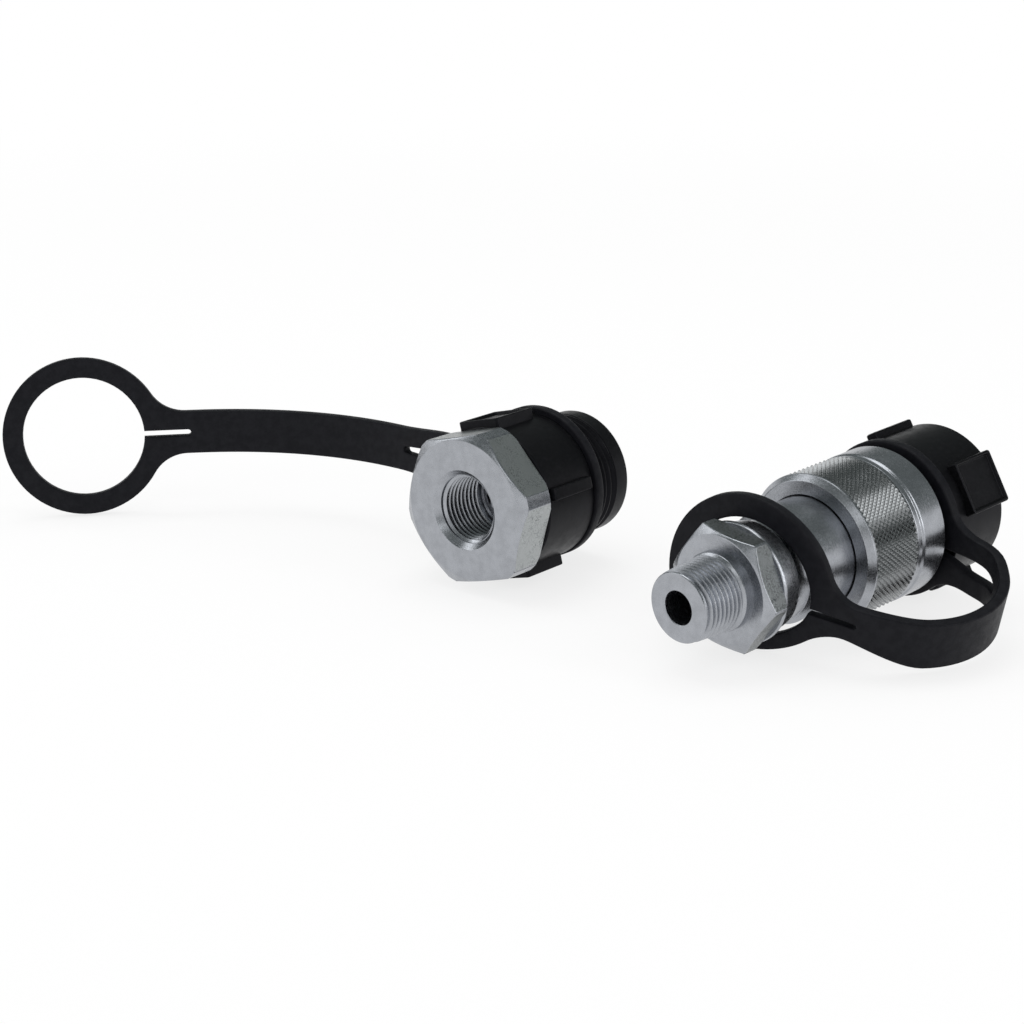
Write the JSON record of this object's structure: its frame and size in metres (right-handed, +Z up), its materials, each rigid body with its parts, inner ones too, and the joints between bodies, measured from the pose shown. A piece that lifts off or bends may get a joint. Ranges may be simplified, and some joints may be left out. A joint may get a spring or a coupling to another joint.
{
  "type": "hydraulic quick coupler",
  "caption": "Screw-to-connect hydraulic coupler shown apart: female and male half, each with a screwed dust cap on a rubber strap.",
  "frame": {"origin": "bottom centre of the whole laid-out part, on the surface it rests on", "axes": "+Z up; -Y out of the female half's port, along its axis; +X from the female half to the male half"},
  "size_m": [0.2442, 0.1146, 0.0412],
  "materials": {
    "steel": "turned, zinc plated",
    "spring_steel": "drawn wire",
    "cap_plastic": "semi-gloss moulding",
    "strap_rubber": "matt moulding",
    "seal_rubber": "smooth",
    "backup_plastic": "turned"
  },
  "bodies": {
    "halves": {"female_body": "steel", "female_valve_guide": "steel", "female_guide_clip": "spring_steel", "female_valve_spring": "spring_steel", "female_socket_seal": "seal_rubber", "female_backup_ring": "backup_plastic", "male_body": "steel", "male_nose": "steel", "male_nose_seal": "seal_rubber", "male_valve_guide": "steel", "male_valve_spring": "spring_steel", "collar_wire": "spring_steel"},
    "female_valve": {"female_poppet": "steel", "female_poppet_seal": "seal_rubber"},
    "male_valve": {"male_poppet": "steel", "male_poppet_seal": "seal_rubber"},
    "collar": {"male_collar": "steel"},
    "strap_female": {"female_strap": "strap_rubber"},
    "cap_female": {"female_cap": "cap_plastic"},
    "strap_male": {"male_strap": "strap_rubber"},
    "cap_male": {"male_cap": "cap_plastic"}
  },
  "joints": [
    {"name": "female_poppet_slide", "type": "slide", "parent": "halves", "child": "female_valve", "axis": [0, -1, 0], "range_m": [0, 0.0026], "stiffness_N_per_m": 1500, "springref_m": -0.003, "deforming": ["female_valve_spring"]},
    {"name": "male_poppet_slide", "type": "slide", "parent": "halves", "child": "male_valve", "axis": [-0.1251, -0.9902, -0.0619], "range_m": [0, 0.0026], "stiffness_N_per_m": 1500, "springref_m": -0.003, "deforming": ["male_valve_spring"]},
    {"name": "collar_turn", "type": "hinge", "parent": "halves", "child": "collar", "pos_m": [0.0824, 0.02141, 0.01921], "axis": [0.1251, 0.9902, 0.0619], "continuous": true},
    {"name": "female_strap_travel", "type": "slide", "parent": "halves", "child": "strap_female", "axis": [0, 1, 0], "range_m": [0, 0.0141]},
    {"name": "female_cap_turn", "type": "hinge", "parent": "strap_female", "child": "cap_female", "pos_m": [0.00722, -0.00276, 0.02025], "axis": [0, 1, 0], "range_deg": [0, 1680]},
    {"name": "male_strap_travel", "type": "slide", "parent": "halves", "child": "strap_male", "axis": [0.1251, 0.9902, 0.0619], "range_m": [0, 0.01]},
    {"name": "male_cap_turn", "type": "hinge", "parent": "strap_male", "child": "cap_male", "pos_m": [0.08553, 0.04616, 0.02075], "axis": [0.1251, 0.9902, 0.0619], "range_deg": [0, 1200]}
  ],
  "couplings": [
    {"joint": "female_strap_travel", "follows": "female_cap_turn", "m_per_rad": 0.00047746},
    {"joint": "male_strap_travel", "follows": "male_cap_turn", "m_per_rad": 0.00047746}
  ]
}
